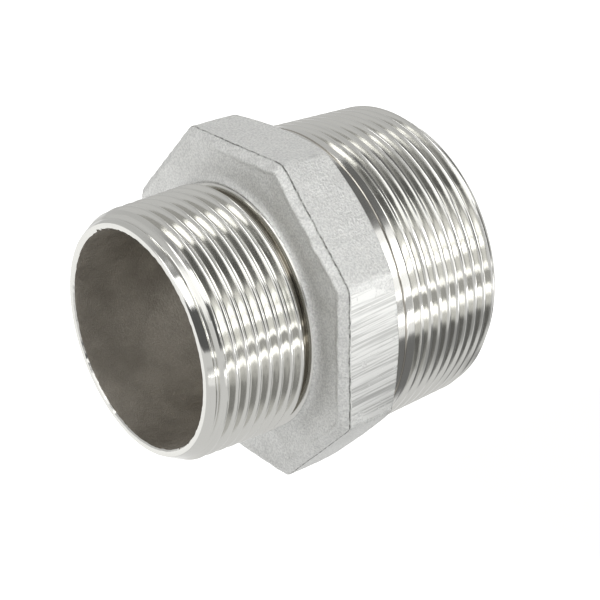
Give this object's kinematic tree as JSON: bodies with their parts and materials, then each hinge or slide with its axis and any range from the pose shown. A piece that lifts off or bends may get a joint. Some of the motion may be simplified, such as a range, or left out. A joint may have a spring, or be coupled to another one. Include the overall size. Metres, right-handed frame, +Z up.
{
  "type": "reducing pipe nipple",
  "caption": "Stainless reducing pipe nipple: a short pipe with a larger and a smaller taper-threaded end and an octagonal wrench collar between them.",
  "frame": {"origin": "on the resting plane, directly below the middle of the fitting's length", "axes": "+X along the pipe axis towards the larger thread, +Z up, square to the wrench flat that the fitting rests on, +Y completes the right-handed frame"},
  "size_m": [0.0624, 0.063, 0.063],
  "materials": {
    "turned_steel": "bright turned and thread-cut stainless steel",
    "cast_steel": "blasted as-cast stainless steel, satin grey"
  },
  "bodies": {
    "root": {"small_threaded_end": "turned_steel", "octagon_collar": "cast_steel", "large_threaded_end": "turned_steel"}
  },
  "joints": []
}
